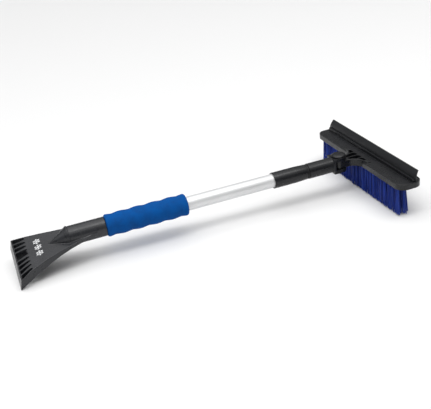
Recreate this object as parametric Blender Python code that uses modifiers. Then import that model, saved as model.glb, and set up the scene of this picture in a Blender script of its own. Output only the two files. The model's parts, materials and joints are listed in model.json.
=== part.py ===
"""Snow brush with a squeegee, and an ice scraper, on a telescoping pole. Metres, +Z up.

Every piece is built in the pole's own frame: X is the pole's axis, from the scraper at -X to the
brush at +X, and the bristles point down. One empty then lays the whole tool down on the floor,
where it rests on its bristle tips and on one corner of the scraper.
"""

import math

import bmesh
import bpy
from mathutils import Matrix, Vector

NAME = "windshield_ice_scraper"
GAP = 0.0003  # left between faces that touch
FACETS = 32  # round pieces
SMALL_FACETS = 16  # screws and their holes
SHARP_ANGLE = math.radians(35)

# Pole: the outer tube is fixed to the scraper, and the inner tube slides and turns in it.
OUTER_TUBE = {"start": -0.2250, "end": 0.1030, "outer": 0.0110, "inner": 0.0101}
INNER_TUBE = {"start": -0.1900, "end": 0.2000, "outer": 0.0090, "inner": 0.0082}
BUSH_BORE = 0.0092

# Foam grip: a soft sleeve with a wavy outside.
GRIP_START = -0.1747
GRIP_END = -0.0464
GRIP_RADIUS = 0.0167
GRIP_WAVE = 0.00055
GRIP_WAVES = 5.5

# Twist lock: turning the collar squeezes a slotted collet on the inner tube.
COLLAR_START = 0.0990
COLLAR_TAPER = 0.1380
COLLAR_END = 0.1570
COLLAR_RADIUS = 0.0130
COLLAR_END_RADIUS = 0.0122
COLLET_START = 0.0850
COLLET_TAPER = 0.1330
COLLET_END = 0.1500

# Pivot housing: a sleeve on the inner tube, then a block with two ears round the brush's hub.
SLEEVE_START = 0.1603
SLEEVE_RADIUS = 0.0126
BLOCK_START = 0.2040
PIVOT_X = 0.2175
EAR_RADIUS = 0.01275
HUB_RADIUS = 0.0095
HUB_HALF_HEIGHT = 0.0070
PIN_BORE = 0.0066
BUTTON_RADIUS = 0.0116
BUTTON_TRAVEL = 0.0035
BUTTON_BASE = 0.0126
BUTTON_TOP = 0.0175

# Scraper head: (x, half width, depth below the pole's axis) along its deck and its lower rim.
HEAD_ROLL = math.radians(10.5)
SOCKET_START = -0.2320
SOCKET_END = -0.1750
SOCKET_RADIUS = 0.0148
HOOD_TIP = -0.2600
HOOD_RADIUS = 0.0160
DECK = (
    (-0.1860, 0.0141, -0.0040),
    (-0.2050, 0.0166, -0.0020),
    (-0.2170, 0.0190, -0.0006),
    (-0.2320, 0.0224, 0.0010),
    (-0.2500, 0.0266, 0.0028),
    (-0.2700, 0.0325, 0.0058),
    (-0.2950, 0.0410, 0.0112),
    (-0.3117, 0.0495, 0.0178),
)
RIM = (
    (-0.1860, 0.0142, 0.0010),
    (-0.2050, 0.0172, 0.0036),
    (-0.2170, 0.0198, 0.0044),
    (-0.2320, 0.0234, 0.0066),
    (-0.2500, 0.0276, 0.0110),
    (-0.2700, 0.0335, 0.0172),
    (-0.2950, 0.0420, 0.0265),
    (-0.3152, 0.0500, 0.0340),
)
POCKET_BACK = -0.2925
HEAD_WALL = 0.0026
RIB_COUNT = 8
RIB_PITCH = 0.0104
RIB_FAN = 0.85  # how far the ribs close up towards the deck
LOW_RIB = 4

# Brush head: X from the pivot outwards, and the bristles below the body.
BODY_START = 0.2475
BODY_END = 0.2885
BODY_HALF_LENGTH = 0.1325
BODY_CORNER = 0.0140
BODY_BOTTOM = -0.0065
BODY_TOP = 0.0030
YOKE_TOP = 0.0058
YOKE_HALF_WIDTH = 0.0360
YOKE_WALL = 0.0022
YOKE_END = 0.2560
CLIP = {"start": 0.2700, "end": 0.2810, "top": 0.0075, "half_length": 0.1290}
BLADE_X = 0.2755
BLADE_HALF_THICKNESS = 0.0010
BLADE_LEAN = 0.0050
BLADE_TOP = 0.0200
BLADE_FOOT_HALF = 0.1330
BLADE_TOP_HALF = 0.1295
ROW_COUNT = 4
ROW_FIRST = 0.2535
ROW_PITCH = 0.0054
ROW_HALF_LENGTH = 0.1210
ROW_HALF_TOP = 0.0022
ROW_HALF_TIP = 0.0025
BRISTLE_TIP = -0.0540

# Laid down: the bristles' nearest tip and the scraper's low corner are on the floor.
CORNER_Z = -RIM[-1][2] * math.cos(HEAD_ROLL) - RIM[-1][1] * math.sin(HEAD_ROLL)
TIP_X = ROW_FIRST - ROW_HALF_TIP
REST_TILT = math.atan2(CORNER_Z - BRISTLE_TIP, TIP_X - RIM[-1][0])
REST_LIFT = -(TIP_X * math.sin(REST_TILT) + BRISTLE_TIP * math.cos(REST_TILT))


def floor_below(x):
    """The floor's height in the pole's frame, under the point x."""
    return -(REST_LIFT + x * math.sin(REST_TILT)) / math.cos(REST_TILT)


# ---------------------------------------------------------------- scene, materials, helpers


def clear_scene():
    for obj in list(bpy.data.objects):
        bpy.data.objects.remove(obj, do_unlink=True)


def new_collection(name):
    collection = bpy.data.collections.new(name)
    bpy.context.scene.collection.children.link(collection)
    return collection


def make_material(name, colour, roughness, metallic=0.0):
    material = bpy.data.materials.new(name)
    material.use_nodes = True
    shader = material.node_tree.nodes["Principled BSDF"]
    shader.inputs["Base Color"].default_value = (*colour, 1.0)
    shader.inputs["Roughness"].default_value = roughness
    shader.inputs["Metallic"].default_value = metallic
    return material


def place(obj, material=None):
    """Puts an object in the pole's frame: as a part with its material, or as a cutter without one."""
    (PARTS if material else CUTTERS).objects.link(obj)
    obj.parent = POLE_FRAME
    if material:
        obj.data.materials.append(material)
    else:
        obj.hide_render = True
        obj.display_type = "WIRE"
    return obj


def from_bmesh(name, shape, material=None):
    bmesh.ops.recalc_face_normals(shape, faces=shape.faces)
    mesh = bpy.data.meshes.new(name)
    shape.to_mesh(mesh)
    shape.free()
    mesh.shade_smooth()
    mesh.set_sharp_from_angle(angle=SHARP_ANGLE)
    return place(bpy.data.objects.new(name, mesh), material)


def evaluated_bmesh(obj):
    """What the object's modifiers make of it, as a welded bmesh. The object itself is removed."""
    graph = bpy.context.evaluated_depsgraph_get()
    mesh = bpy.data.meshes.new_from_object(obj.evaluated_get(graph))
    shape = bmesh.new()
    shape.from_mesh(mesh)
    shape.transform(obj.matrix_local)
    bpy.data.meshes.remove(mesh)
    bpy.data.objects.remove(obj, do_unlink=True)
    bmesh.ops.remove_doubles(shape, verts=shape.verts, dist=1e-6)
    return shape


def turned(name, outline, material=None, facets=FACETS, axis="X", at=(0.0, 0.0)):
    """Turns a closed outline of (distance along the axis, radius). axis is X, the pole's, or Z.

    A Z piece stands at the point at = (x, y). Points with radius 0 lie on the axis.
    """
    profile = bpy.data.meshes.new(name)
    on_axis = outline[0][1] == 0.0 and outline[-1][1] == 0.0
    count = len(outline)
    edges = [(i, (i + 1) % count) for i in range(count - on_axis)]
    profile.from_pydata([(radius, 0.0, along) for along, radius in outline], edges, [])
    obj = bpy.data.objects.new(name, profile)
    bpy.context.scene.collection.objects.link(obj)
    screw = obj.modifiers.new("turn", "SCREW")
    screw.steps = screw.render_steps = facets
    screw.use_merge_vertices = True
    screw.merge_threshold = 1e-6
    shape = evaluated_bmesh(obj)
    if axis == "X":
        shape.transform(Matrix.Rotation(math.radians(90), 4, "Y"))
    else:
        shape.transform(Matrix.Translation((*at, 0.0)))
    return from_bmesh(name, shape, material)


def ring(start, end, outer, inner):
    """The outline of a plain tube."""
    return [(start, outer), (end, outer), (end, inner), (start, inner)]


def rod(start, end, radius):
    """The outline of a plain round bar."""
    return [(start, 0.0), (start, radius), (end, radius), (end, 0.0)]


def slab(name, outline, bottom, top, material=None):
    """A flat outline of (x, y) extruded between two heights."""
    shape = bmesh.new()
    face = shape.faces.new([shape.verts.new((x, y, bottom)) for x, y in outline])
    raised = bmesh.ops.extrude_face_region(shape, geom=[face])["geom"]
    points = [item for item in raised if isinstance(item, bmesh.types.BMVert)]
    bmesh.ops.translate(shape, verts=points, vec=(0.0, 0.0, top - bottom))
    return from_bmesh(name, shape, material)


def rail(name, outline, half_length, material=None, half_length_at=None):
    """A section of (x, z) drawn along Y, with ends trimmed by half_length_at(z) where it is given."""
    shape = bmesh.new()
    face = shape.faces.new([shape.verts.new((x, -half_length, z)) for x, z in outline])
    drawn = bmesh.ops.extrude_face_region(shape, geom=[face])["geom"]
    points = [item for item in drawn if isinstance(item, bmesh.types.BMVert)]
    bmesh.ops.translate(shape, verts=points, vec=(0.0, 2 * half_length, 0.0))
    if half_length_at:
        for vert in shape.verts:
            vert.co.y = math.copysign(half_length_at(vert.co.z), vert.co.y)
    return from_bmesh(name, shape, material)


def box(name, low, high, material=None):
    shape = bmesh.new()
    bmesh.ops.create_cube(shape, size=1.0)
    low, high = Vector(low), Vector(high)
    for vert in shape.verts:
        vert.co = Vector((low[i] + (vert.co[i] + 0.5) * (high[i] - low[i]) for i in range(3)))
    return from_bmesh(name, shape, material)


def loft(name, sections, material=None, roll=0.0):
    """Joins sections with equally many points, caps both ends, and rolls the result about X."""
    shape = bmesh.new()
    rings = [[shape.verts.new(point) for point in section] for section in sections]
    for one, two in zip(rings, rings[1:]):
        for i in range(len(one)):
            j = (i + 1) % len(one)
            shape.faces.new((one[i], one[j], two[j], two[i]))
    shape.faces.new(rings[0])
    shape.faces.new(rings[-1])
    shape.transform(Matrix.Rotation(roll, 4, "X"))
    return from_bmesh(name, shape, material)


def combine(obj, other, operation):
    """Adds a Boolean. EXACT leaves the housing open where facets of its sleeve and bore line up."""
    modifier = obj.modifiers.new(other.name, "BOOLEAN")
    modifier.operation = operation
    modifier.object = other
    modifier.solver = "MANIFOLD" if obj.name == "pivot_housing" else "EXACT"


def add(obj, *others):
    for other in others:
        combine(obj, other, "UNION")


def cut(obj, *others):
    for other in others:
        combine(obj, other, "DIFFERENCE")


def arc(centre, radius, start, end, count):
    """Points on an arc, with angles in degrees."""
    angles = [math.radians(start + (end - start) * i / count) for i in range(count + 1)]
    return [
        (centre[0] + radius * math.cos(a), centre[1] + radius * math.sin(a)) for a in angles
    ]


def along(table, x):
    """(half width, depth) of the deck or the rim at x, on straight lines between its stations."""
    for (x0, w0, d0), (x1, w1, d1) in zip(table, table[1:]):
        if x >= x1:
            break
    t = (x - x0) / (x1 - x0)
    return w0 + t * (w1 - w0), d0 + t * (d1 - d0)


# ---------------------------------------------------------------- handle: scraper, tube, grip


def head_section(top, bottom):
    """The four corners of the head at one station, from (x, half width, depth) at top and bottom."""
    (xt, wt, dt), (xb, wb, db) = top, bottom
    return [(xt, -wt, -dt), (xt, wt, -dt), (xb, wb, -db), (xb, -wb, -db)]


def head_hollow():
    """The space under the deck, open downwards between the side walls."""
    sections = []
    for x in (-0.2460, -0.2700, -0.2890):
        deck_half, deck_depth = along(DECK, x)
        rim_half, rim_depth = along(RIM, x)
        top = (x, deck_half - HEAD_WALL, deck_depth + HEAD_WALL)
        bottom = (x, rim_half - HEAD_WALL, rim_depth + HEAD_WALL)
        sections.append(head_section(top, bottom))
    return loft("hollow_cutter", sections, roll=HEAD_ROLL)


def front_pockets():
    """The slots between the ice-breaking ribs, which fan out from the deck to the front lip."""
    lip_x, lip_half, lip_depth = DECK[-1]
    edge_x, edge_half, edge_depth = RIM[-1]
    slope = (edge_x - lip_x) / (edge_depth - lip_depth)
    plate = 0.0019
    rib_front, rib_back = 0.0011, 0.0030
    ribs = [(i - (RIB_COUNT - 1) / 2) * RIB_PITCH for i in range(RIB_COUNT)]
    wall = lip_half - HEAD_WALL + rib_front
    lines = [-wall, *ribs, wall]
    for i, (left, right) in enumerate(zip(lines, lines[1:])):
        sections = []
        for depth in (0.0060, 0.0420):
            front = lip_x + slope * (depth - lip_depth) + plate
            sections.append(
                [
                    (front, left + rib_front, -depth),
                    (front, right - rib_front, -depth),
                    (POCKET_BACK, right * RIB_FAN - rib_back, -depth),
                    (POCKET_BACK, left * RIB_FAN + rib_back, -depth),
                ]
            )
        yield loft(f"pocket_cutter_{i + 1}", sections, roll=HEAD_ROLL)


def low_rib_cutter():
    """One rib beside the middle stops short of the top."""
    y = (LOW_RIB - (RIB_COUNT - 1) / 2) * RIB_PITCH
    front, back, half = -0.3095, POCKET_BACK - 0.0010, 0.0024
    ends = ((front, y - half), (front, y + half), (back, y * RIB_FAN + half))
    plan = (*ends, (back, y * RIB_FAN - half))
    sections = [[(x, side, -depth) for x, side in plan] for depth in (0.0060, 0.0240)]
    return loft("low_rib_cutter", sections, roll=HEAD_ROLL)


def hood():
    """The pointed fairing between the deck and the socket: a cone with its tip pulled down."""
    tip_depth = along(DECK, HOOD_TIP)[1]
    end = SOCKET_START + 0.0006
    around = [2 * math.pi * i / FACETS for i in range(FACETS)]
    sections = [
        [(x, radius * math.cos(a), radius * math.sin(a) - drop) for a in around]
        for x, radius, drop in (
            (end, HOOD_RADIUS, 0.0),
            (SOCKET_START, HOOD_RADIUS, 0.0),
            (HOOD_TIP, 0.0008, tip_depth),
        )
    ]
    return loft("hood_solid", sections)


def screw_with_hole(name, x, seat, tip, radius, material, *bored):
    """A pan-head screw that goes up from below through the bored pieces, and its hole in each."""
    head_radius, head_height = 2.1 * radius, 0.0016
    turned(
        name,
        [
            (tip, 0.0),
            (tip, radius),
            (seat - GAP, radius),
            (seat - GAP, head_radius),
            (seat - GAP - head_height * 0.7, head_radius),
            (seat - GAP - head_height, head_radius * 0.6),
            (seat - GAP - head_height, 0.0),
        ],
        material,
        SMALL_FACETS,
        "Z",
        (x, 0.0),
    )
    hole = turned(
        name + "_hole",
        [
            (tip + 0.0010, 0.0),
            (tip + 0.0010, radius + GAP),
            (seat, radius + GAP),
            (seat, head_radius + GAP),
            (seat - 0.0060, head_radius + GAP),
            (seat - 0.0060, 0.0),
        ],
        None,
        SMALL_FACETS,
        "Z",
        (x, 0.0),
    )
    for obj in bored:
        cut(obj, hole)


def make_scraper_head():
    head = loft(
        "scraper_head",
        [head_section(top, bottom) for top, bottom in zip(DECK, RIM)],
        PLASTIC,
        roll=HEAD_ROLL,
    )
    add(head, hood(), turned("socket_solid", rod(SOCKET_START, SOCKET_END, SOCKET_RADIUS)))
    bore = rod(OUTER_TUBE["start"] - GAP, SOCKET_END + 0.01, OUTER_TUBE["outer"] + GAP)
    cut(head, head_hollow(), *front_pockets(), low_rib_cutter(), turned("socket_bore", bore))
    return head


def make_handle():
    head = make_scraper_head()
    tube = turned("outer_tube", ring(**OUTER_TUBE), ALUMINIUM)
    screw_with_hole("socket_screw", -0.2030, -0.0133, -0.0090, 0.0015, STEEL, head, tube)
    make_foam_grip()
    make_collet()
    return head


def make_foam_grip():
    steps = 33
    bore = OUTER_TUBE["outer"] + GAP
    outline = [(GRIP_END, bore), (GRIP_START, bore)]
    for i in range(steps + 1):
        t = i / steps
        wave = GRIP_WAVE * math.cos(2 * math.pi * GRIP_WAVES * t)
        outline.append((GRIP_START + t * (GRIP_END - GRIP_START), GRIP_RADIUS + wave))
    turned("foam_grip", outline, FOAM)


def make_collet():
    """A sleeve pressed into the outer tube's end, with four fingers on a cone."""
    collet = turned(
        "collet",
        [
            (COLLET_START, BUSH_BORE),
            (COLLET_START, 0.0098),
            (OUTER_TUBE["end"] + GAP, 0.0098),
            (OUTER_TUBE["end"] + GAP, 0.0110),
            (COLLET_TAPER, 0.0110),
            (COLLET_END, 0.0099),
            (COLLET_END, BUSH_BORE),
        ],
        DARK_PLASTIC,
    )
    half_slot, reach = 0.0008, 0.015
    low, high = 0.1180, COLLET_END + 0.002
    cut(collet, box("slot_cutter_1", (low, -half_slot, -reach), (high, half_slot, reach)))
    cut(collet, box("slot_cutter_2", (low, -reach, -half_slot), (high, reach, half_slot)))


def make_lock_collar():
    turned(
        "collar_nut",
        [
            (COLLAR_START, 0.0124),
            (COLLAR_START + 0.0006, COLLAR_RADIUS),
            (COLLAR_TAPER, COLLAR_RADIUS),
            (COLLAR_END, COLLAR_END_RADIUS),
            (COLLAR_END, 0.0095),
            (COLLET_END + 0.0014, 0.0095),
            (COLLET_END + 0.0009, 0.0104),
            (COLLET_TAPER + 0.0010, 0.0114),
            (COLLAR_START, 0.0114),
        ],
        PLASTIC,
    )


# ---------------------------------------------------------------- inner pole and pivot


def make_inner_pole():
    tube = turned("inner_tube", ring(**INNER_TUBE), ALUMINIUM)
    start = INNER_TUBE["start"]
    turned("guide_bush", ring(start + 0.0005, start + 0.0180, 0.0098, BUSH_BORE), DARK_PLASTIC)
    flange, plug = INNER_TUBE["outer"], INNER_TUBE["inner"] - GAP
    turned(
        "inner_end_plug",
        [
            (start - 0.0025, 0.0),
            (start - 0.0025, flange),
            (start - GAP, flange),
            (start - GAP, plug),
            (start + 0.0120, plug),
            (start + 0.0120, 0.0),
        ],
        DARK_PLASTIC,
    )
    bumper = ring(COLLAR_END + 0.0005, SLEEVE_START - GAP, 0.0117, 0.0093)
    turned("bumper_ring", bumper, RUBBER)
    housing = make_pivot_housing()
    screw_with_hole("housing_screw", 0.1820, -0.0108, -0.0070, 0.0013, STEEL, housing, tube)


def make_pivot_housing():
    """A sleeve for the inner tube, a square block, and two round ears with the hub between them."""
    nose = [(BLOCK_START, -EAR_RADIUS), *arc((PIVOT_X, 0.0), EAR_RADIUS, -90, 90, FACETS // 2)]
    nose.append((BLOCK_START, EAR_RADIUS))
    housing = slab("pivot_housing", nose, -EAR_RADIUS, EAR_RADIUS, PLASTIC)
    add(housing, turned("sleeve_solid", rod(SLEEVE_START, BLOCK_START + 0.002, SLEEVE_RADIUS)))
    wall = PIVOT_X - HUB_RADIUS - 2 * GAP
    slot_half = HUB_HALF_HEIGHT + GAP
    tube_bore = rod(SLEEVE_START - 0.01, INNER_TUBE["end"] + GAP, INNER_TUBE["outer"] + GAP)
    counterbore = rod(BUTTON_BASE - BUTTON_TRAVEL - GAP, 0.02, BUTTON_RADIUS + GAP)
    cut(
        housing,
        turned("sleeve_bore", tube_bore),
        box("hub_slot", (wall, -0.02, -slot_half), (PIVOT_X + 0.02, 0.02, slot_half)),
        turned("button_recess", counterbore, axis="Z", at=(PIVOT_X, 0.0)),
        turned("pin_bore_housing", rod(-0.02, 0.02, PIN_BORE), axis="Z", at=(PIVOT_X, 0.0)),
    )
    pin = PIN_BORE - GAP
    turned("pivot_base_plug", rod(-0.0127, -0.0100, pin), PLASTIC, axis="Z", at=(PIVOT_X, 0.0))
    make_button_spring(-0.0097, -0.0035)
    return housing


def make_button_spring(bottom, top):
    """A coil spring under the lock plunger. Its turns don't meet when the button is fully down."""
    turns, per_turn, radius, wire = 3, 16, 0.0045, 0.0003
    curve = bpy.data.curves.new("button_spring", "CURVE")
    curve.dimensions = "3D"
    curve.bevel_depth = wire
    curve.bevel_resolution = 2
    curve.use_fill_caps = True
    spline = curve.splines.new("POLY")
    count = turns * per_turn + 1
    spline.points.add(count - 1)
    for i, point in enumerate(spline.points):
        angle = 2 * math.pi * i / per_turn
        height = bottom + wire + (top - bottom - 2 * wire) * i / (count - 1)
        x, y = radius * math.cos(angle), radius * math.sin(angle)
        point.co = (PIVOT_X + x, y, height, 1.0)
    place(bpy.data.objects.new("button_spring", curve), STEEL)


def make_button():
    steps = 8
    dome = [(BUTTON_BASE, 0.0), (BUTTON_BASE, BUTTON_RADIUS)]
    shoulder = BUTTON_BASE + 0.0012
    for i in range(steps + 1):
        a = math.radians(90 * i / steps)
        height = shoulder + (BUTTON_TOP - shoulder) * math.sin(a)
        dome.append((height, BUTTON_RADIUS * math.cos(a) if i < steps else 0.0))
    turned("push_button", dome, PLASTIC, axis="Z", at=(PIVOT_X, 0.0))
    plunger = rod(-0.0032, BUTTON_BASE - GAP, PIN_BORE - GAP)
    turned("lock_plunger", plunger, DARK_PLASTIC, axis="Z", at=(PIVOT_X, 0.0))


# ---------------------------------------------------------------- brush head


def gusset_edge(t):
    """A point (x, y) on the yoke's hollow edge, from the neck at t = 0 to the body at t = 1."""
    a = math.radians(90 * t)
    neck_x = PIVOT_X + EAR_RADIUS + 0.0012
    x = neck_x + (BODY_START + 0.002 - neck_x) * math.sin(a)
    y = HUB_RADIUS + (YOKE_HALF_WIDTH - HUB_RADIUS) * (1 - math.cos(a))
    return x, y


def yoke_outline():
    steps = 10
    side = [gusset_edge(i / steps) for i in range(steps + 1)]
    outer = [(PIVOT_X, HUB_RADIUS), *side, (YOKE_END, YOKE_HALF_WIDTH)]
    return outer + [(x, -y) for x, y in reversed(outer)]


def yoke_pocket(name, low, high):
    """A pocket cut down into the yoke between y = low and y = high, behind its hollow edge."""
    steps = 5
    near = []
    for i in range(steps + 1):
        y = low + (high - low) * i / steps
        reach = max(abs(y) + YOKE_WALL, HUB_RADIUS)
        span = YOKE_HALF_WIDTH - HUB_RADIUS
        t = math.degrees(math.acos(max(0.0, 1 - (reach - HUB_RADIUS) / span))) / 90
        near.append((gusset_edge(t)[0] + YOKE_WALL, y))
    far = YOKE_END - YOKE_WALL
    return slab(name, [*near, (far, high), (far, low)], -0.0035, YOKE_TOP + 0.01)


def body_outline():
    r, half = BODY_CORNER, BODY_HALF_LENGTH
    corners = (
        (BODY_END - r, half - r, 0),
        (BODY_START + r, half - r, 90),
        (BODY_START + r, r - half, 180),
        (BODY_END - r, r - half, 270),
    )
    points = []
    for x, y, start in corners:
        points += arc((x, y), r, start, start + 90, 8)
    return points


def make_brush_body():
    body = slab("brush_body", body_outline(), BODY_BOTTOM, BODY_TOP, PLASTIC)
    hub = rod(-HUB_HALF_HEIGHT, HUB_HALF_HEIGHT, HUB_RADIUS)
    add(
        body,
        slab("yoke_solid", yoke_outline(), BODY_BOTTOM + 0.0002, YOKE_TOP),
        turned("hub_solid", hub, axis="Z", at=(PIVOT_X, 0.0)),
    )
    cut(body, turned("pin_bore_hub", rod(-0.02, 0.02, PIN_BORE), axis="Z", at=(PIVOT_X, 0.0)))
    bands = ((-0.0255, -0.0135), (-0.0117, -0.0009), (0.0009, 0.0117), (0.0135, 0.0255))
    for i, (low, high) in enumerate(bands):
        cut(body, yoke_pocket(f"yoke_pocket_{i + 1}", low, high))
    groove_end, groove_reach = CLIP["start"] - 0.0002, BODY_HALF_LENGTH - 0.008
    groove_low = (groove_end - 0.0016, -groove_reach, BODY_TOP - 0.0022)
    groove_high = (groove_end, groove_reach, BODY_TOP + 0.0050)
    cut(body, box("top_groove", groove_low, groove_high))
    return body


def make_squeegee():
    """A rubber blade in a clip strip. It stands up, then bends away from the handle."""
    foot = BODY_TOP + 0.0015 + GAP
    channel = BLADE_HALF_THICKNESS + GAP
    low, high, top = CLIP["start"], CLIP["end"], CLIP["top"]
    rail(
        "squeegee_clip_strip",
        [
            (low, BODY_TOP + GAP),
            (low + 0.0012, top),
            (BLADE_X - channel, top),
            (BLADE_X - channel, foot - GAP),
            (BLADE_X + channel, foot - GAP),
            (BLADE_X + channel, top),
            (high - 0.0012, top),
            (high, BODY_TOP + GAP),
        ],
        CLIP["half_length"],
        PLASTIC,
    )
    steps = 6
    middle = [(BLADE_X, foot), (BLADE_X, top)]
    for i in range(1, steps + 1):
        lean = BLADE_LEAN * (1 - math.cos(math.radians(90 * i / steps)))
        middle.append((BLADE_X + lean, top + (BLADE_TOP - top) * i / steps))
    near = [(x - BLADE_HALF_THICKNESS, z) for x, z in middle]
    far = [(x + BLADE_HALF_THICKNESS, z) for x, z in middle]
    trim = (BLADE_TOP_HALF - BLADE_FOOT_HALF) / (BLADE_TOP - foot)
    rail(
        "squeegee_blade",
        near + far[::-1],
        BLADE_FOOT_HALF,
        RUBBER,
        lambda z: BLADE_FOOT_HALF + trim * (z - foot),
    )


def make_bristle_rows():
    """Each row is one slab that widens towards its tips, trimmed level with the floor."""
    for row in range(ROW_COUNT):
        x = ROW_FIRST + row * ROW_PITCH
        root, tip = ROW_HALF_TOP, ROW_HALF_TIP
        rail(
            f"bristle_row_{row + 1}",
            [
                (x - root, BODY_BOTTOM - GAP),
                (x + root, BODY_BOTTOM - GAP),
                (x + tip, floor_below(x + tip)),
                (x - tip, floor_below(x - tip)),
            ],
            ROW_HALF_LENGTH,
            BRISTLES,
            lambda z: ROW_HALF_LENGTH + 0.0040 * (BODY_BOTTOM - z) / (BODY_BOTTOM - BRISTLE_TIP),
        )


def lay_down(scraper_head, brush_body):
    """Tilts the tool onto the floor, and centres it over the origin, between its two ends."""
    POLE_FRAME.rotation_euler = (0.0, -REST_TILT, 0.0)
    POLE_FRAME.location = (0.0, 0.0, REST_LIFT)
    bpy.context.view_layer.update()
    graph = bpy.context.evaluated_depsgraph_get()
    across = []
    for obj in (scraper_head, brush_body):
        mesh = obj.evaluated_get(graph).to_mesh()
        across += [(obj.matrix_world @ vert.co).x for vert in mesh.vertices]
    POLE_FRAME.location.x = -(min(across) + max(across)) / 2


clear_scene()
PARTS = new_collection(NAME)
CUTTERS = new_collection("cutters")
POLE_FRAME = bpy.data.objects.new("pole_frame", None)
PARTS.objects.link(POLE_FRAME)

PLASTIC = make_material("charcoal_plastic", (0.045, 0.047, 0.050), 0.42)
DARK_PLASTIC = make_material("black_plastic", (0.020, 0.020, 0.022), 0.50)
RUBBER = make_material("black_rubber", (0.025, 0.026, 0.028), 0.60)
FOAM = make_material("blue_foam", (0.020, 0.160, 0.480), 0.90)
ALUMINIUM = make_material("matte_aluminium", (0.820, 0.830, 0.840), 0.38, 1.0)
STEEL = make_material("zinc_steel", (0.600, 0.600, 0.600), 0.30, 1.0)
BRISTLES = make_material("blue_bristles", (0.015, 0.050, 0.300), 0.55)

SCRAPER = make_handle()
make_lock_collar()
make_inner_pole()
make_button()
BRUSH = make_brush_body()
make_squeegee()
make_bristle_rows()
lay_down(SCRAPER, BRUSH)
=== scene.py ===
"""Looks of a snow brush and ice scraper: every visible piece, its material, and a pale studio.

Pieces are built in the pole's frame, where X is the pole's axis and Z points away from the bristle
tips, and are then carried to the row frame, where the tool lies tilted on the floor.
"""

import json
import math
import random

import bmesh
import bpy
from mathutils import Matrix, Vector


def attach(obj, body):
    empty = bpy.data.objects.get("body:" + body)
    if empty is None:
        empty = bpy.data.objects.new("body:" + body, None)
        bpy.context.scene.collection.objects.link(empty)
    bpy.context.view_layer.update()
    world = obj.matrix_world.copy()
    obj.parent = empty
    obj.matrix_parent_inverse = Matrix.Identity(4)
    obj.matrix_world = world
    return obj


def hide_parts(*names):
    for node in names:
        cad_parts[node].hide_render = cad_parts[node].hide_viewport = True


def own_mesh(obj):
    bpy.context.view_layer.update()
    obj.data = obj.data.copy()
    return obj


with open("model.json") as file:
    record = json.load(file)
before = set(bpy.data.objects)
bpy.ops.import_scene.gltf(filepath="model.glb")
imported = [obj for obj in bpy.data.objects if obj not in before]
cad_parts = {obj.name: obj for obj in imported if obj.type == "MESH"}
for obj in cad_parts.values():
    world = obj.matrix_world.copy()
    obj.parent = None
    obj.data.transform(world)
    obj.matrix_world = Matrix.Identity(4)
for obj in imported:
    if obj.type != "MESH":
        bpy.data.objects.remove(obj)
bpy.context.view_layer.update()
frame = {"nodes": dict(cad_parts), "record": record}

JOINTS = {joint["name"]: joint for joint in frame["record"]["behaviour"]["joints"]}
NODES = frame["nodes"]


def pole_matrix():
    """The pole's frame: its X axis and a point on it are those of the joint that turns the pole."""
    x = Vector(JOINTS["pole_turn"]["axis"]).normalized()
    y = Vector((0.0, 1.0, 0.0))
    z = x.cross(y).normalized()
    turn = Matrix((x, z.cross(x), z)).transposed().to_4x4()
    return Matrix.Translation(JOINTS["pole_turn"]["pos_m"]) @ turn


POLE = pole_matrix()
TO_POLE = POLE.inverted()


def span(node):
    """(lowest corner, highest corner) of a CAD node in the pole's frame."""
    points = [TO_POLE @ vert.co for vert in NODES[node].data.vertices]
    low = Vector([min(p[i] for p in points) for i in range(3)])
    high = Vector([max(p[i] for p in points) for i in range(3)])
    return low, high


# ---------------------------------------------------------------- node trees


def new_material(name, **settings):
    material = bpy.data.materials.new(name)
    material.use_nodes = True
    shader = material.node_tree.nodes["Principled BSDF"]
    for key, value in settings.items():
        shader.inputs[key.replace("_", " ")].default_value = value
    return material, material.node_tree, shader


def node(tree, kind, **settings):
    made = tree.nodes.new("ShaderNode" + kind)
    for key, value in settings.items():
        if hasattr(made, key):
            setattr(made, key, value)
        else:
            made.inputs[key.replace("_", " ")].default_value = value
    return made


def place_of(tree, scale=(1.0, 1.0, 1.0)):
    """Object coordinates, stretched by scale."""
    coords = node(tree, "TexCoord")
    mapping = node(tree, "Mapping", Scale=scale)
    tree.links.new(coords.outputs["Object"], mapping.inputs["Vector"])
    return mapping.outputs["Vector"]


def noise(tree, scale, detail=3.0, roughness=0.55, stretch=(1.0, 1.0, 1.0)):
    made = node(tree, "TexNoise", Scale=scale, Detail=detail, Roughness=roughness)
    tree.links.new(place_of(tree, stretch), made.inputs["Vector"])
    return made.outputs["Fac"]


def remap(tree, value, low, high, start=0.35, end=0.65):
    """Maps value from start..end to low..high."""
    made = node(tree, "MapRange", From_Min=start, From_Max=end, To_Min=low, To_Max=high)
    tree.links.new(value, made.inputs["Value"])
    return made.outputs["Result"]


def ramp(tree, value, stops):
    """A colour ramp from (position, (r, g, b)) stops."""
    made = node(tree, "ValToRGB")
    elements = made.color_ramp.elements
    while len(elements) < len(stops):
        elements.new(0.5)
    for element, (position, colour) in zip(elements, stops):
        element.position = position
        element.color = (*colour, 1.0)
    tree.links.new(value, made.inputs["Fac"])
    return made.outputs["Color"]


def bump(tree, shader, height, strength, distance, below=None):
    made = node(tree, "Bump", Strength=strength, Distance=distance)
    tree.links.new(height, made.inputs["Height"])
    if below:
        tree.links.new(below, made.inputs["Normal"])
    tree.links.new(made.outputs["Normal"], shader.inputs["Normal"])
    return made.outputs["Normal"]


def shades(colour, *factors):
    return [tuple(channel * factor for channel in colour) for factor in factors]


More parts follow.
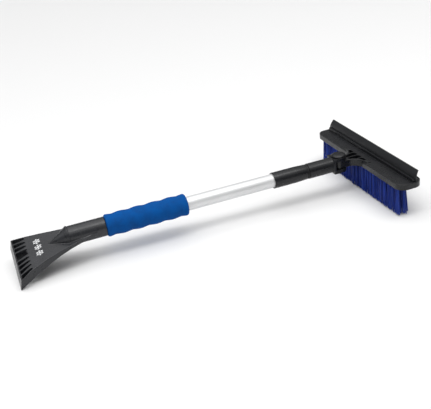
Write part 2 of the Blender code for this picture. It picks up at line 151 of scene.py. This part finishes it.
def moulded_plastic(name, colour, roughness, gloss_level):
    """Injection-moulded plastic: a fine spark-eroded grain, faint flow marks and uneven gloss."""
    material, tree, shader = new_material(name, Roughness=roughness)
    shader.inputs["Specular IOR Level"].default_value = gloss_level
    dark, mid, light = shades(colour, 0.82, 1.0, 1.2)
    cloud = noise(tree, 38.0, 4.0, 0.6)
    base = ramp(tree, cloud, ((0.3, dark), (0.5, mid), (0.72, light)))
    tree.links.new(base, shader.inputs["Base Color"])
    gloss = noise(tree, 95.0, 3.0)
    tree.links.new(
        remap(tree, gloss, roughness - 0.06, roughness + 0.08), shader.inputs["Roughness"]
    )
    grain = bump(tree, shader, noise(tree, 2600.0, 2.0, 0.7), 0.35, 0.00012)
    flow = noise(tree, 60.0, 2.0, 0.5, (0.35, 1.0, 1.0))
    bump(tree, shader, flow, 0.18, 0.0006, grain)
    return material


def anodised_aluminium():
    """Drawn and matte-anodised tube: fine lines along its length under a soft white sheen."""
    material, tree, shader = new_material("matte_anodised_aluminium", Metallic=0.66)
    lines = noise(tree, 900.0, 3.0, 0.6, (0.03, 1.0, 1.0))
    cloud = noise(tree, 22.0, 3.0)
    base = ramp(tree, cloud, ((0.3, (0.74, 0.745, 0.75)), (0.7, (0.79, 0.795, 0.80))))
    tree.links.new(base, shader.inputs["Base Color"])
    tree.links.new(remap(tree, lines, 0.46, 0.58), shader.inputs["Roughness"])
    bump(tree, shader, lines, 0.10, 0.00006)
    return material


def closed_cell_foam():
    """Royal blue EVA foam: a matte skin with pinprick cells, paler where it is rubbed."""
    colour = (0.0008, 0.070, 0.280)
    material, tree, shader = new_material("royal_blue_foam", Specular_IOR_Level=0.12)
    dark, mid, light = shades(colour, 0.80, 1.0, 1.18)
    cloud = noise(tree, 55.0, 5.0, 0.65)
    base = ramp(tree, cloud, ((0.30, dark), (0.52, mid), (0.75, light)))
    tree.links.new(base, shader.inputs["Base Color"])
    tree.links.new(remap(tree, cloud, 0.74, 0.90), shader.inputs["Roughness"])
    cells = node(tree, "TexVoronoi", Scale=1500.0, Randomness=1.0)
    tree.links.new(place_of(tree), cells.inputs["Vector"])
    skin = bump(tree, shader, cells.outputs["Distance"], 0.45, 0.00022)
    bump(tree, shader, noise(tree, 320.0, 4.0, 0.6), 0.30, 0.00035, skin)
    return material


def soft_rubber(name, colour, roughness):
    """Moulded rubber: matte, faintly bloomed and lightly marked along its length."""
    material, tree, shader = new_material(name, Specular_IOR_Level=0.45)
    dark, mid, light = shades(colour, 0.85, 1.0, 1.25)
    bloom = noise(tree, 30.0, 5.0, 0.6, (1.0, 0.35, 1.0))
    base = ramp(tree, bloom, ((0.3, dark), (0.5, mid), (0.74, light)))
    tree.links.new(base, shader.inputs["Base Color"])
    tree.links.new(
        remap(tree, bloom, roughness - 0.05, roughness + 0.08), shader.inputs["Roughness"]
    )
    marks = noise(tree, 700.0, 2.0, 0.6, (1.0, 0.08, 1.0))
    bump(tree, shader, marks, 0.15, 0.0001)
    return material


def bristle_fibre():
    """Extruded synthetic bristle: one colour shifts a little from strand to strand."""
    material, tree, shader = new_material(
        "deep_blue_bristle", Roughness=0.42, Specular_IOR_Level=0.25
    )
    strands = noise(tree, 420.0, 2.0, 0.6, (1.0, 1.0, 0.03))
    colours = (
        (0.30, (0.005, 0.014, 0.130)),
        (0.50, (0.012, 0.036, 0.290)),
        (0.72, (0.030, 0.085, 0.480)),
    )
    tree.links.new(ramp(tree, strands, colours), shader.inputs["Base Color"])
    tree.links.new(remap(tree, strands, 0.32, 0.48), shader.inputs["Roughness"])
    return material


def zinc_plate():
    material, tree, shader = new_material("zinc_plated_steel", Metallic=1.0)
    spangle = noise(tree, 600.0, 3.0)
    base = ramp(tree, spangle, ((0.3, (0.48, 0.48, 0.47)), (0.7, (0.62, 0.62, 0.60))))
    tree.links.new(base, shader.inputs["Base Color"])
    tree.links.new(remap(tree, spangle, 0.24, 0.40), shader.inputs["Roughness"])
    return material


def white_print():
    """Pad-printed white ink, a little uneven, with the plastic's grain under it."""
    material, tree, shader = new_material("white_print", Specular_IOR_Level=0.4)
    cloud = noise(tree, 300.0, 3.0)
    base = ramp(tree, cloud, ((0.25, (0.74, 0.75, 0.76)), (0.6, (0.86, 0.87, 0.88))))
    tree.links.new(base, shader.inputs["Base Color"])
    tree.links.new(remap(tree, cloud, 0.5, 0.65), shader.inputs["Roughness"])
    bump(tree, shader, noise(tree, 2600.0, 2.0, 0.7), 0.2, 0.0001)
    return material


# ---------------------------------------------------------------- building pieces


def finish_piece(name, shape, material, body, slot, *nodes, smooth_angle=40):
    """Makes the piece from a bmesh in the pole's frame, rides it on its body, and hides the CAD
    nodes it stands for.
    """
    bmesh.ops.recalc_face_normals(shape, faces=shape.faces)
    shape.transform(POLE)
    mesh = bpy.data.meshes.new(name)
    shape.to_mesh(mesh)
    shape.free()
    mesh.shade_smooth()
    mesh.set_sharp_from_angle(angle=math.radians(smooth_angle))
    mesh.materials.append(material)
    piece = bpy.data.objects.new(name, mesh)
    bpy.context.scene.collection.objects.link(piece)
    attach(piece, body)
    if nodes:
        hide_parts(*nodes)
    return piece


def lathe(outline, facets=96, at=None):
    """A closed outline of (distance along, radius) turned about the pole, or about Z at x = at."""
    shape = bmesh.new()
    rows = []
    for step in range(facets):
        angle = 2 * math.pi * step / facets
        c, s = math.cos(angle), math.sin(angle)
        row = []
        for reach, radius in outline:
            if at is None:
                point = (reach, radius * c, radius * s)
            else:
                point = (at + radius * c, radius * s, reach)
            row.append(shape.verts.new(point))
        rows.append(row)
    for step, row in enumerate(rows):
        after = rows[(step + 1) % facets]
        for i in range(len(outline)):
            j = (i + 1) % len(outline)
            if outline[i][1] == 0.0 and outline[j][1] == 0.0:
                continue
            shape.faces.new((row[i], row[j], after[j], after[i]))
    bmesh.ops.remove_doubles(shape, verts=shape.verts, dist=1e-6)
    return shape


def rounded(outline, radius, steps=4):
    """The outline with each corner cut by a short arc, no wider than half of its sides."""
    points = []
    count = len(outline)
    for i, corner in enumerate(outline):
        here = Vector(corner)
        before, after = Vector(outline[i - 1]), Vector(outline[(i + 1) % count])
        reach = min(radius, (before - here).length / 2.05, (after - here).length / 2.05)
        if here.y == 0.0 or reach < 2e-5:
            points.append(tuple(here))
            continue
        start = here + (before - here).normalized() * reach
        end = here + (after - here).normalized() * reach
        for step in range(steps + 1):
            t = step / steps
            point = start * (1 - t) ** 2 + here * 2 * t * (1 - t) + end * t**2
            points.append(tuple(point))
    return points


def extrude_along_y(outline, half_length_at, cuts=2):
    """A closed (x, z) outline drawn along Y. half_length_at(z) trims its ends."""
    shape = bmesh.new()
    rows = []
    for step in range(cuts + 1):
        part = 2 * step / cuts - 1
        rows.append([shape.verts.new((x, part * half_length_at(z), z)) for x, z in outline])
    for one, two in zip(rows, rows[1:]):
        for i in range(len(outline)):
            j = (i + 1) % len(outline)
            shape.faces.new((one[i], one[j], two[j], two[i]))
    shape.faces.new(rows[0])
    shape.faces.new(rows[-1])
    return shape


def moulded(name, node_name, voxel, rounds, material, body, slot):
    """A CAD node's shape with the small fillets of a moulding, from a fine remesh and smoothing."""
    mesh = NODES[node_name].data.copy()
    mesh.transform(TO_POLE)
    shape = bmesh.new()
    shape.from_mesh(mesh)
    bmesh.ops.remove_doubles(shape, verts=shape.verts, dist=1e-6)
    shape.to_mesh(mesh)
    shape.free()
    source = bpy.data.objects.new(name + "_source", mesh)
    bpy.context.scene.collection.objects.link(source)
    remesh = source.modifiers.new("fillet", "REMESH")
    remesh.mode = "VOXEL"
    remesh.voxel_size = voxel
    soften = source.modifiers.new("soften", "SMOOTH")
    soften.factor = 0.5
    soften.iterations = rounds
    graph = bpy.context.evaluated_depsgraph_get()
    result = bpy.data.meshes.new_from_object(source.evaluated_get(graph))
    bpy.data.objects.remove(source, do_unlink=True)
    bpy.data.meshes.remove(mesh)
    shape = bmesh.new()
    shape.from_mesh(result)
    bpy.data.meshes.remove(result)
    return finish_piece(name, shape, material, body, slot, node_name, smooth_angle=60)


# ---------------------------------------------------------------- handle


def foam_grip(material):
    """The foam sleeve: rounded ends, six crests, and a body that swells a little at each one."""
    low, high = span("foam_grip")
    start, end = low.x, high.x
    crests, bore = 6, 0.0112
    rim, rim_drop = 0.0042, 0.0040
    crest = high.z + 0.0001
    valley = crest - 0.0013
    steps = 150
    top = []
    for i in range(steps + 1):
        t = i / steps
        phase = (crests - 1) * t
        swell = 0.5 + 0.5 * math.cos(2 * math.pi * phase)
        radius = valley + (crest - valley) * swell**0.75
        edge = min(t, 1 - t) * (end - start)
        if edge < rim:
            radius -= (1 - math.sqrt(1 - (1 - edge / rim) ** 2)) * rim_drop
        top.append((start + t * (end - start), radius))
    outline = top + [(end, bore), (start, bore)]
    shape = lathe(outline)
    wobble = random.Random(7)
    lobes = [(wobble.uniform(0, 6.28), wobble.uniform(60, 140)) for _ in range(3)]
    for vert in shape.verts:
        out = math.hypot(vert.co.y, vert.co.z)
        if out < bore + 0.0005:
            continue
        angle = math.atan2(vert.co.z, vert.co.y)
        push = sum(math.sin(2 * angle + phase + vert.co.x * rate) for phase, rate in lobes)
        vert.co.yz *= 1 + 0.0035 * push / len(lobes)
    piece = finish_piece("foam_sleeve", shape, material, "handle", "blue_foam", "foam_grip")


def tube_piece(name, node_name, body, outer, inner, material):
    """A plain tube with its end edges broken."""
    low, high = span(node_name)
    outline = rounded(
        [(low.x, inner), (low.x, outer), (high.x, outer), (high.x, inner)], 0.0003, 3
    )
    finish_piece(name, lathe(outline), material, body, "matte_aluminium", node_name)


def snowflake(shape, centre, radius, along, across, up):
    """A plain six-armed flake of raised strokes, on a deck that runs along and across."""
    width, height = 0.00085, 0.00012

    def stroke(start, end):
        run = (end - start).normalized()
        side = up.cross(run) * width / 2
        corners = [start - side, start + side, end + side, end - side]
        low = [shape.verts.new(point - up * height) for point in corners]
        high = [shape.verts.new(point + up * height) for point in corners]
        shape.faces.new(low[::-1])
        shape.faces.new(high)
        for i in range(4):
            j = (i + 1) % 4
            shape.faces.new((low[i], low[j], high[j], high[i]))

    for arm in range(6):
        angle = math.radians(60 * arm + 30)
        out = along * math.cos(angle) + across * math.sin(angle)
        stroke(centre, centre + out * radius)
        for turn in (-60, 60):
            lean = math.radians(60 * arm + 30 + turn)
            branch = along * math.cos(lean) + across * math.sin(lean)
            root = centre + out * radius * 0.55
            stroke(root, root + branch * radius * 0.34)


def deck_print(material):
    """Three plain snowflakes across the scraper's deck."""
    scraper_roll, deck_slope = math.radians(10.5), -0.216
    deck_middle, lift = Vector((-0.2765, 0.0025, -0.00715)), 0.00002
    spacing, radius = 0.0138, 0.0060
    roll = Matrix.Rotation(scraper_roll, 3, "X")
    along = (roll @ Vector((-1.0, 0.0, deck_slope))).normalized()
    across = roll @ Vector((0.0, 1.0, 0.0))
    up = across.cross(along).normalized()
    if up.z < 0:
        up = -up
    middle = roll @ deck_middle + up * lift
    shape = bmesh.new()
    for place in (-1, 0, 1):
        snowflake(shape, middle + across * place * spacing, radius, along, across, up)
    finish_piece("deck_snowflakes", shape, material, "handle", "matte_aluminium")


def collar_nut(material):
    """The twist collar: a plain round band, then a taper to its end, over a stepped bore."""
    low, high = span("collar_nut")
    start, end = low.x, high.x
    band, taper = 0.0390, 0.0008
    wide_bore, wide_end = 0.0114, start + 0.0350
    narrow_bore, narrow_start = 0.0095, start + 0.0524
    outline = rounded(
        [
            (start, wide_bore),
            (start, high.z),
            (start + band, high.z),
            (end, high.z - taper),
            (end, narrow_bore),
            (narrow_start, narrow_bore),
            (wide_end, wide_bore),
        ],
        0.0007,
    )
    shape = lathe(outline, 144)
    finish_piece("collar_sleeve", shape, material, "lock_collar", "charcoal_plastic", "collar_nut")


# ---------------------------------------------------------------- pivot and button


def bumper(material):
    """The rubber ring between the collar and the pivot's sleeve."""
    low, high = span("bumper_ring")
    bore = 0.0093
    outline = rounded(
        [(low.x, bore), (low.x, high.z), (high.x, high.z), (high.x, bore)], 0.0008
    )
    shape = lathe(outline, 72)
    finish_piece("bumper_seal", shape, material, "inner_pole", "black_rubber", "bumper_ring")


def push_button(material):
    """A domed button with a shallow finger dish and a rounded skirt."""
    low, high = span("push_button")
    pivot = (low.x + high.x) / 2
    base, top, radius = low.z, high.z, (high.y - low.y) / 2
    steps = 22
    shoulder = base + 0.0013
    outline = [(base, 0.0), (base, radius - 0.0003), (base + 0.0003, radius)]
    for i in range(steps + 1):
        a = math.radians(90 * i / steps)
        across = radius * math.cos(a) ** 0.85 if i < steps else 0.0
        height = shoulder + (top - shoulder) * math.sin(a)
        dish = 0.0005 * max(0.0, 1 - (across / (0.55 * radius)) ** 2)
        outline.append((height - dish, across))
    shape = lathe(outline, 72, at=pivot)
    finish_piece("pivot_button", shape, material, "button", "charcoal_plastic", "push_button")


def plunger_spring(material):
    """The coil under the button's plunger."""
    low, high = span("button_spring")
    wire, turns, per_turn, sides = 0.0003, 3, 40, 10
    radius = (high.y - low.y) / 2 - wire
    pivot = (low.x + high.x) / 2
    height = high.z - low.z
    shape = bmesh.new()
    rings = []
    for step in range(turns * per_turn + 1):
        angle = 2 * math.pi * step / per_turn
        out = Vector((math.cos(angle), math.sin(angle), 0.0))
        rise = (height - 2 * wire) * step / (turns * per_turn)
        middle = Vector((pivot, 0.0, low.z + wire + rise)) + out * radius
        ring = []
        for side in range(sides):
            a = 2 * math.pi * side / sides
            offset = out * (wire * math.cos(a)) + Vector((0.0, 0.0, wire * math.sin(a)))
            ring.append(shape.verts.new(middle + offset))
        rings.append(ring)
    for one, two in zip(rings, rings[1:]):
        for i in range(sides):
            j = (i + 1) % sides
            shape.faces.new((one[i], one[j], two[j], two[i]))
    shape.faces.new(rings[0])
    shape.faces.new(rings[-1])
    piece = finish_piece(
        "plunger_spring", shape, material, "inner_pole", "zinc_steel", "button_spring"
    )
    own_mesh(piece)


# ---------------------------------------------------------------- brush head


def squeegee(material):
    """The rubber blade: a plain foot in the clip, a bent flank, and a thin wiping lip."""
    low, high = span("squeegee_blade")
    foot, top = low.z, high.z
    clip_top = span("squeegee_clip_strip")[1].z
    half_foot = 0.0010
    start = low.x + half_foot
    lean = high.x - low.x - 2 * half_foot
    foot_half = high.y
    trim = 0.0035 / (top - foot)
    steps = 16
    middle = [(start, foot, half_foot), (start, clip_top, half_foot)]
    for i in range(1, steps + 1):
        t = i / steps
        thick = half_foot - 0.0004 * t
        if t > 0.9:
            thick += 0.0002
        x = start + lean * (1 - math.cos(math.radians(90 * t)))
        middle.append((x, clip_top + (top - clip_top) * t, thick))
    near = [(x - thick, z) for x, z, thick in middle]
    far = [(x + thick, z) for x, z, thick in middle]
    outline = near + far[::-1]
    shape = extrude_along_y(outline, lambda z: foot_half - trim * (z - foot), 40)
    finish_piece("squeegee_rubber", shape, material, "brush_head", "black_rubber", "squeegee_blade")


def clip_strip(material):
    """The rail on the brush body: a sloped bar with a channel for the blade's foot."""
    low, high = span("squeegee_clip_strip")
    centre = span("squeegee_blade")[0].x + 0.0010
    channel, base, slope = 0.0013, low.z + 0.0012, 0.0012
    outline = rounded(
        [
            (low.x, low.z),
            (low.x + slope, high.z),
            (centre - channel, high.z),
            (centre - channel, base),
            (centre + channel, base),
            (centre + channel, high.z),
            (high.x - slope, high.z),
            (high.x, low.z),
        ],
        0.0007,
    )
    shape = extrude_along_y(outline, lambda z: high.y)
    finish_piece(
        "squeegee_holder", shape, material, "brush_head", "charcoal_plastic", "squeegee_clip_strip"
    )


def strand(shape, root, tip, bow, width):
    """One bristle: a three-sided fibre that bows and narrows to its tip."""
    levels = 4
    run = tip - root
    rows = []
    for level in range(levels + 1):
        t = level / levels
        centre = root + run * t + bow * math.sin(math.pi * t * 0.5) * t
        radius = width * (1 - 0.35 * t)
        row = []
        for corner in range(3):
            angle = 2 * math.pi * corner / 3 + root.x * 9000 + root.y * 7000
            offset = Vector((math.cos(angle) * radius, math.sin(angle) * radius, 0.0))
            row.append(shape.verts.new(centre + offset))
        rows.append(row)
    for one, two in zip(rows, rows[1:]):
        for i in range(3):
            j = (i + 1) % 3
            shape.faces.new((one[i], one[j], two[j], two[i]))
    shape.faces.new(rows[0][::-1])
    shape.faces.new(rows[-1])


def bristle_row(row, material):
    """A row of tufts. Each tuft spreads from its hole, and its tips are cut a little unevenly."""
    name = f"bristle_row_{row}"
    low, high = span(name)
    draw = random.Random(100 + row)
    most_tufts, per_tuft, end_margin = 22, 62, 0.0055
    tufts = most_tufts - (row % 2 == 0)
    pitch = 2 * (high.y - end_margin) / most_tufts
    hole_x, hole_y, spread_x, spread_y = 0.0021, 0.0036, 0.0026, 0.0056
    fan, thickness = 1.030, 0.00027
    middle = (low.x + high.x) / 2
    top = high.z
    shape = bmesh.new()
    for tuft in range(tufts):
        y = (tuft - (tufts - 1) / 2) * pitch
        lean = Vector((draw.gauss(0, 0.0003), draw.gauss(0, 0.0006), 0.0))
        cut = draw.uniform(0.0, 0.0012)
        for _ in range(per_tuft):
            angle = draw.uniform(0, 2 * math.pi)
            reach = math.sqrt(draw.random())
            hole = Vector((math.cos(angle), math.sin(angle), 0.0)) * reach
            root = Vector((middle, y, top)) + Vector((hole.x * hole_x, hole.y * hole_y, 0.0))
            spread = Vector((hole.x * spread_x, hole.y * spread_y, 0.0))
            x = middle + spread.x + lean.x + draw.gauss(0, 0.00020)
            x = min(max(x, low.x), high.x)
            floor = -(POLE.translation.z + x * POLE[2][0]) / POLE[2][2]
            tip_y = y * fan + spread.y + lean.y + draw.gauss(0, 0.0003)
            tip = Vector((x, tip_y, floor))
            tip.z += 0.0002 + cut + abs(draw.gauss(0, 0.0005)) + 0.0012 * reach**2
            bow = Vector((draw.gauss(0, 0.0003), draw.gauss(0, 0.0005), 0.0))
            strand(shape, root, tip, bow, thickness)
    piece_name = f"bristle_tufts_{row}"
    finish_piece(
        piece_name, shape, material, "brush_head", "blue_bristles", name, smooth_angle=80
    )


# ---------------------------------------------------------------- studio


def surround():
    """Light that is bright overhead and dim at the horizon, in front of a plain pale wall."""
    world = bpy.data.worlds.new("pale_surround")
    world.use_nodes = True
    tree = world.node_tree
    coords = node(tree, "TexCoord")
    parts = node(tree, "SeparateXYZ")
    tree.links.new(coords.outputs["Generated"], parts.inputs["Vector"])
    stops = ((0.0, (0.10,) * 3), (0.40, (0.20,) * 3), (0.72, (1.0,) * 3), (1.0, (1.0,) * 3))
    shell = tree.nodes["Background"]
    shell.inputs["Strength"].default_value = 0.85
    tree.links.new(ramp(tree, parts.outputs["Z"], stops), shell.inputs["Color"])
    wall = node(tree, "Background", Strength=0.88)
    wall.inputs["Color"].default_value = (0.96, 0.96, 0.96, 1.0)
    seen = node(tree, "MixShader")
    tree.links.new(node(tree, "LightPath").outputs["Is Camera Ray"], seen.inputs[0])
    tree.links.new(shell.outputs[0], seen.inputs[1])
    tree.links.new(wall.outputs[0], seen.inputs[2])
    tree.links.new(seen.outputs[0], tree.nodes["World Output"].inputs["Surface"])
    bpy.context.scene.world = world


def studio():
    """A pale floor, the surround, a broad soft sun, and a long soft box over the pole."""
    surround()
    bpy.ops.mesh.primitive_plane_add(size=30.0, location=(0.0, 0.0, 0.0))
    floor = bpy.context.object
    floor.name = "studio_floor"
    material, _, shader = new_material("pale_floor", Roughness=0.85, Specular_IOR_Level=0.1)
    shader.inputs["Base Color"].default_value = (0.80, 0.80, 0.80, 1.0)
    floor.data.materials.append(material)
    sun = bpy.data.lights.new("broad_light", "SUN")
    sun.energy = 1.40
    sun.angle = math.radians(80)
    box = bpy.data.lights.new("soft_box", "AREA")
    box.shape, box.size, box.size_y = "RECTANGLE", 2.6, 0.6
    box.energy = 14.0
    for light, toward in ((sun, Vector((-0.25, -0.05, 1.0))), (box, Vector((0.0, -0.35, 1.9)))):
        lamp = bpy.data.objects.new(light.name, light)
        lamp.location = toward
        lamp.rotation_euler = (-toward).to_track_quat("-Z", "Y").to_euler()
        bpy.context.scene.collection.objects.link(lamp)


def camera():
    """Looks across the pole and down, from a little to the scraper's end, the brush end raised."""
    azimuth, elevation, roll = math.radians(17.48), math.radians(26.88), math.radians(-7.21)
    distance = 1.15395
    target = Vector((0.0, 0.0, -0.01408))
    ahead = Vector(
        (
            math.sin(azimuth) * math.cos(elevation),
            math.cos(azimuth) * math.cos(elevation),
            -math.sin(elevation),
        )
    )
    level = Vector((math.cos(azimuth), -math.sin(azimuth), 0.0))
    upright = level.cross(ahead)
    right = level * math.cos(roll) + upright * math.sin(roll)
    up = upright * math.cos(roll) - level * math.sin(roll)
    turn = Matrix((right, up, -ahead)).transposed().to_4x4()
    lens = bpy.data.cameras.new("camera")
    lens.sensor_width = 36.0
    lens.sensor_fit = "HORIZONTAL"
    lens.lens = 61.77
    eye = bpy.data.objects.new("camera", lens)
    eye.matrix_world = POLE @ Matrix.Translation(target - ahead * distance) @ turn
    bpy.context.scene.collection.objects.link(eye)
    bpy.context.scene.camera = eye


# ---------------------------------------------------------------- all of it

bpy.context.scene.view_settings.view_transform = "Standard"
camera()
studio()

CHARCOAL = moulded_plastic("charcoal_plastic", (0.020, 0.021, 0.0245), 0.29, 0.45)
# A darker copy of the charcoal plastic for the brush head, collar, pivot and button: its darker
# colour is painted shade. Its gloss and roughness are its own.
BRUSH_CHARCOAL_PAINTED_SHADE = moulded_plastic("brush_charcoal_plastic_painted_shade", (0.0075, 0.008, 0.0098), 0.27, 0.36)
BLACK = moulded_plastic("black_plastic", (0.010, 0.010, 0.011), 0.48, 0.40)
ALUMINIUM = anodised_aluminium()
FOAM = closed_cell_foam()
BLADE_RUBBER = soft_rubber("squeegee_rubber", (0.012, 0.013, 0.015), 0.44)
SEAL_RUBBER = soft_rubber("seal_rubber", (0.006, 0.006, 0.007), 0.55)
BRISTLE = bristle_fibre()
ZINC = zinc_plate()
PRINT = white_print()

SLOT_MATERIALS = {
    "charcoal_plastic": CHARCOAL,
    "black_plastic": BLACK,
    "matte_aluminium": ALUMINIUM,
    "blue_foam": FOAM,
    "black_rubber": SEAL_RUBBER,
    "blue_bristles": BRISTLE,
    "zinc_steel": ZINC,
}
for subpart in frame["record"]["subparts"]:
    mesh = NODES[subpart["node"]].data
    mesh.materials.clear()
    mesh.materials.append(SLOT_MATERIALS[subpart["material_slot"]])

moulded("scraper_moulding", "scraper_head", 0.00060, 4, CHARCOAL, "handle", "charcoal_plastic")
deck_print(PRINT)
foam_grip(FOAM)
tube_piece("handle_tube", "outer_tube", "handle", 0.0110, 0.0101, ALUMINIUM)
tube_piece("sliding_tube", "inner_tube", "inner_pole", 0.0090, 0.0082, ALUMINIUM)
collar_nut(BRUSH_CHARCOAL_PAINTED_SHADE)
bumper(SEAL_RUBBER)
moulded(
    "pivot_moulding", "pivot_housing", 0.00042, 3, BRUSH_CHARCOAL_PAINTED_SHADE, "inner_pole", "charcoal_plastic"
)
push_button(BRUSH_CHARCOAL_PAINTED_SHADE)
plunger_spring(ZINC)
moulded(
    "brush_moulding", "brush_body", 0.00070, 3, BRUSH_CHARCOAL_PAINTED_SHADE, "brush_head", "charcoal_plastic"
)
clip_strip(BRUSH_CHARCOAL_PAINTED_SHADE)
squeegee(BLADE_RUBBER)
for number in range(1, 5):
    bristle_row(number, BRISTLE)
